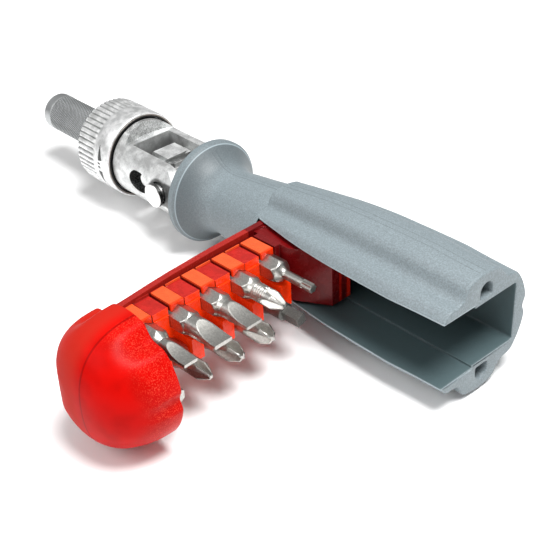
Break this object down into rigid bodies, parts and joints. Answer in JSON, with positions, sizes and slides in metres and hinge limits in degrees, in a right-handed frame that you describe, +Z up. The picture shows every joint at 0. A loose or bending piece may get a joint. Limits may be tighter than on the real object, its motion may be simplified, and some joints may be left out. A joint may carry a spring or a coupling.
{
  "type": "ratcheting screwdriver",
  "caption": "Ratcheting screwdriver with a swivel head, selector ring, hex bit holder and a bit magazine that swings out of the grip.",
  "frame": {"origin": "centre of the mouth of the hex bit socket, on the tool's axis", "axes": "+X along the tool's axis out of the socket's mouth, +Y toward the side where the bit magazine opens, +Z up"},
  "size_m": [0.1985, 0.1111, 0.0388],
  "materials": {
    "handle_grey": "satin moulded grey, slightly blue",
    "magazine_red": "tinted see-through red, glossy",
    "zinc": "satin cast zinc",
    "ring_zinc": "satin cast and turned zinc",
    "steel_bright": "bright",
    "steel_satin": "satin",
    "steel_dark": "black oxide",
    "holder_steel": "knurled, dark nickel",
    "bit_steel": "satin grey",
    "bit_steel_dark": "phosphated dark",
    "bush_brass": "turned",
    "magnet": "plated"
  },
  "bodies": {
    "handle": {"handle": "handle_grey", "swivel_stem": "zinc"},
    "magazine": {"bit_magazine": "magazine_red"},
    "bit_slotted_narrow": {"bit_slotted_narrow": "bit_steel"},
    "bit_slotted_wide": {"bit_slotted_wide": "bit_steel"},
    "bit_slotted_medium": {"bit_slotted_medium": "bit_steel"},
    "bit_pozi_ringed": {"bit_pozi_ringed": "bit_steel"},
    "bit_torx": {"bit_torx": "bit_steel"},
    "bit_hex_key": {"bit_hex_key": "bit_steel"},
    "bit_phillips_small": {"bit_phillips_small": "bit_steel"},
    "bit_phillips_medium": {"bit_phillips_medium": "bit_steel"},
    "bit_phillips_large": {"bit_phillips_large": "bit_steel"},
    "bit_square": {"bit_square": "bit_steel_dark"},
    "head": {"ratchet_housing": "zinc", "swivel_pin": "steel_bright", "swivel_pin_washer": "steel_satin", "swivel_pin_clip": "steel_dark", "front_bush": "bush_brass", "ring_retainer": "steel_dark", "pawl_spring_upper": "steel_bright", "pawl_spring_lower": "steel_bright", "detent_spring": "steel_bright"},
    "lock_slider": {"lock_slider": "zinc"},
    "selector_ring": {"selector_ring": "ring_zinc"},
    "spindle": {"bit_holder": "holder_steel", "socket_magnet": "magnet", "bit_snap_ring": "steel_dark"},
    "pawl_upper": {"pawl_upper": "steel_satin"},
    "pawl_lower": {"pawl_lower": "steel_satin"},
    "detent_ball": {"detent_ball": "steel_bright"}
  },
  "joints": [
    {"name": "magazine_swing", "type": "hinge", "parent": "handle", "child": "magazine", "pos_m": [-0.1347, 0.00875, 0], "axis": [0, 0, -1], "range_deg": [-88, 0]},
    {"name": "bit_slotted_narrow_pull", "type": "slide", "parent": "magazine", "child": "bit_slotted_narrow", "axis": [-0.9994, -0.0349, 0], "range_m": [0, 0.02]},
    {"name": "bit_slotted_wide_pull", "type": "slide", "parent": "magazine", "child": "bit_slotted_wide", "axis": [-0.9994, -0.0349, 0], "range_m": [0, 0.02]},
    {"name": "bit_slotted_medium_pull", "type": "slide", "parent": "magazine", "child": "bit_slotted_medium", "axis": [-0.9994, -0.0349, 0], "range_m": [0, 0.02]},
    {"name": "bit_pozi_ringed_pull", "type": "slide", "parent": "magazine", "child": "bit_pozi_ringed", "axis": [-0.9994, -0.0349, 0], "range_m": [0, 0.02]},
    {"name": "bit_torx_pull", "type": "slide", "parent": "magazine", "child": "bit_torx", "axis": [-0.9994, -0.0349, 0], "range_m": [0, 0.02]},
    {"name": "bit_hex_key_pull", "type": "slide", "parent": "magazine", "child": "bit_hex_key", "axis": [-0.9994, -0.0349, 0], "range_m": [0, 0.0135]},
    {"name": "bit_phillips_small_pull", "type": "slide", "parent": "magazine", "child": "bit_phillips_small", "axis": [-0.9994, -0.0349, 0], "range_m": [0, 0.02]},
    {"name": "bit_phillips_medium_pull", "type": "slide", "parent": "magazine", "child": "bit_phillips_medium", "axis": [-0.9994, -0.0349, 0], "range_m": [0, 0.02]},
    {"name": "bit_phillips_large_pull", "type": "slide", "parent": "magazine", "child": "bit_phillips_large", "axis": [-0.9994, -0.0349, 0], "range_m": [0, 0.02]},
    {"name": "bit_square_pull", "type": "slide", "parent": "magazine", "child": "bit_square", "axis": [-0.9994, -0.0349, 0], "range_m": [0, 0.02]},
    {"name": "head_pivot", "type": "hinge", "parent": "handle", "child": "head", "pos_m": [-0.0775, 0, 0], "axis": [0, -1, 0], "range_deg": [-90, 90]},
    {"name": "lock_slide", "type": "slide", "parent": "head", "child": "lock_slider", "axis": [1, 0, 0], "range_m": [-0.0016, 0.003]},
    {"name": "selector_turn", "type": "hinge", "parent": "head", "child": "selector_ring", "pos_m": [-0.0485, 0, 0], "axis": [1, 0, 0], "range_deg": [-20, 20]},
    {"name": "spindle_spin", "type": "hinge", "parent": "head", "child": "spindle", "pos_m": [-0.0485, 0, 0], "axis": [1, 0, 0], "continuous": true},
    {"name": "pawl_upper_lift", "type": "slide", "parent": "head", "child": "pawl_upper", "axis": [0, 0, 1], "range_m": [0, 0.0009], "stiffness_N_per_m": 150, "deforming": ["pawl_spring_upper"]},
    {"name": "pawl_lower_lift", "type": "slide", "parent": "head", "child": "pawl_lower", "axis": [0, 0, -1], "range_m": [0, 0.0009], "stiffness_N_per_m": 150, "deforming": ["pawl_spring_lower"]},
    {"name": "detent_travel", "type": "slide", "parent": "head", "child": "detent_ball", "axis": [0, -1, 0], "range_m": [0, 0.0003]}
  ]
}
